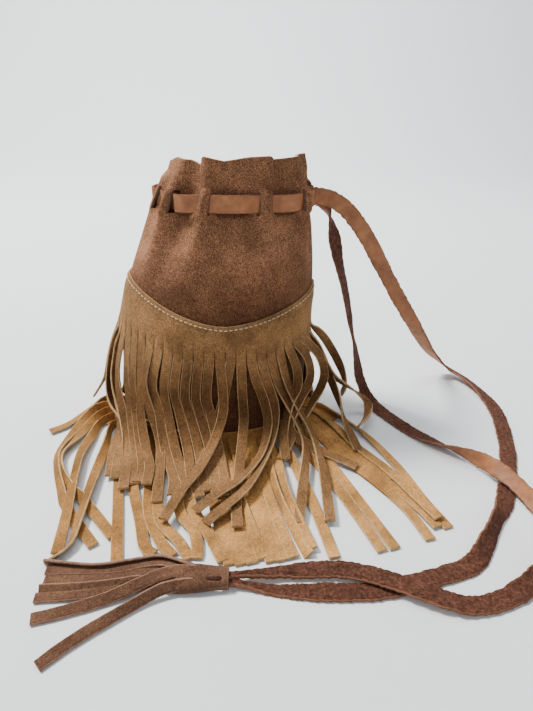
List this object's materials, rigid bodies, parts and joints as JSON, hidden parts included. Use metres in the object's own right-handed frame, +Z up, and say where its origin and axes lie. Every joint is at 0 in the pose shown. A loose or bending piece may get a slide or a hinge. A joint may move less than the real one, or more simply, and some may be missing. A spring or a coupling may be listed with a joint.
{
  "type": "fringed drawstring pouch",
  "caption": "Upright oval suede pouch gathered by a flat leather drawstring, with a stitched fringed yoke, a lower fringe and a tassel joining the drawstring ends.",
  "frame": {"origin": "centre of the oval base, on the surface the pouch stands on", "axes": "+Z up, +X towards the side where the drawstring ends leave, -Y towards the side the tassel lies on"},
  "size_m": [0.3637, 0.4052, 0.2052],
  "materials": {
    "body_suede": "brown napped suede",
    "yoke_suede": "tan napped suede with pale cut edges",
    "lower_suede": "light tan napped suede with pale cut edges",
    "stitch_thread": "beige sewing thread",
    "strap_leather": "orange-brown strap leather, smooth grain side and rough flesh side",
    "tassel_leather": "mid brown leather with pale cut edges"
  },
  "bodies": {
    "pouch": {"base_panel": "body_suede", "front_body_panel": "body_suede", "back_body_panel": "body_suede", "front_fringed_yoke": "yoke_suede", "back_fringed_yoke": "yoke_suede", "front_yoke_stitching": "stitch_thread", "back_yoke_stitching": "stitch_thread", "front_lower_fringe": "lower_suede", "back_lower_fringe": "lower_suede", "drawstring_neck_run": "strap_leather"},
    "collar_front": {"collar_front": "body_suede"},
    "collar_front_left": {"collar_front_left": "body_suede"},
    "collar_back_left": {"collar_back_left": "body_suede"},
    "collar_back": {"collar_back": "body_suede"},
    "collar_back_right": {"collar_back_right": "body_suede"},
    "collar_front_right": {"collar_front_right": "body_suede"},
    "drawstring_ends": {"drawstring_end_a": "strap_leather", "drawstring_end_b": "strap_leather"},
    "tassel": {"tassel_head": "tassel_leather", "tassel_strips": "tassel_leather"}
  },
  "joints": [
    {"name": "collar_front_tilt", "type": "hinge", "parent": "pouch", "child": "collar_front", "pos_m": [0.02235, -0.03476, 0.18875], "axis": [0.9994, 0.0346, 0], "range_deg": [0, 14], "stiffness_Nm_per_rad": 0.01},
    {"name": "collar_front_left_tilt", "type": "hinge", "parent": "pouch", "child": "collar_front_left", "pos_m": [-0.02298, -0.02046, 0.18875], "axis": [0.7395, -0.6732, 0], "range_deg": [0, 14], "stiffness_Nm_per_rad": 0.01},
    {"name": "collar_back_left_tilt", "type": "hinge", "parent": "pouch", "child": "collar_back_left", "pos_m": [-0.02298, 0.02046, 0.18875], "axis": [-0.7395, -0.6732, 0], "range_deg": [0, 14], "stiffness_Nm_per_rad": 0.01},
    {"name": "collar_back_tilt", "type": "hinge", "parent": "pouch", "child": "collar_back", "pos_m": [0.02235, 0.03476, 0.18875], "axis": [-0.9994, 0.0346, 0], "range_deg": [0, 14], "stiffness_Nm_per_rad": 0.01},
    {"name": "collar_back_right_tilt", "type": "hinge", "parent": "pouch", "child": "collar_back_right", "pos_m": [0.06372, 0.01896, 0.18875], "axis": [-0.7006, 0.7136, 0], "range_deg": [0, 14], "stiffness_Nm_per_rad": 0.01},
    {"name": "collar_front_right_tilt", "type": "hinge", "parent": "pouch", "child": "collar_front_right", "pos_m": [0.06372, -0.01896, 0.18875], "axis": [0.7006, 0.7136, 0], "range_deg": [0, 14], "stiffness_Nm_per_rad": 0.01},
    {"name": "drawstring_pull", "type": "slide", "parent": "pouch", "child": "drawstring_ends", "axis": [1, 0, 0], "range_m": [0, 0.02]},
    {"name": "tassel_swing", "type": "hinge", "parent": "drawstring_ends", "child": "tassel", "pos_m": [0.0135, -0.1885, 0.0045], "axis": [0, 0, 1], "range_deg": [0, 35]}
  ],
  "couplings": [
    {"joint": "collar_front_left_tilt", "follows": "collar_front_tilt", "ratio": 1},
    {"joint": "collar_back_left_tilt", "follows": "collar_front_tilt", "ratio": 1},
    {"joint": "collar_back_tilt", "follows": "collar_front_tilt", "ratio": 1},
    {"joint": "collar_back_right_tilt", "follows": "collar_front_tilt", "ratio": 1},
    {"joint": "collar_front_right_tilt", "follows": "collar_front_tilt", "ratio": 1}
  ]
}
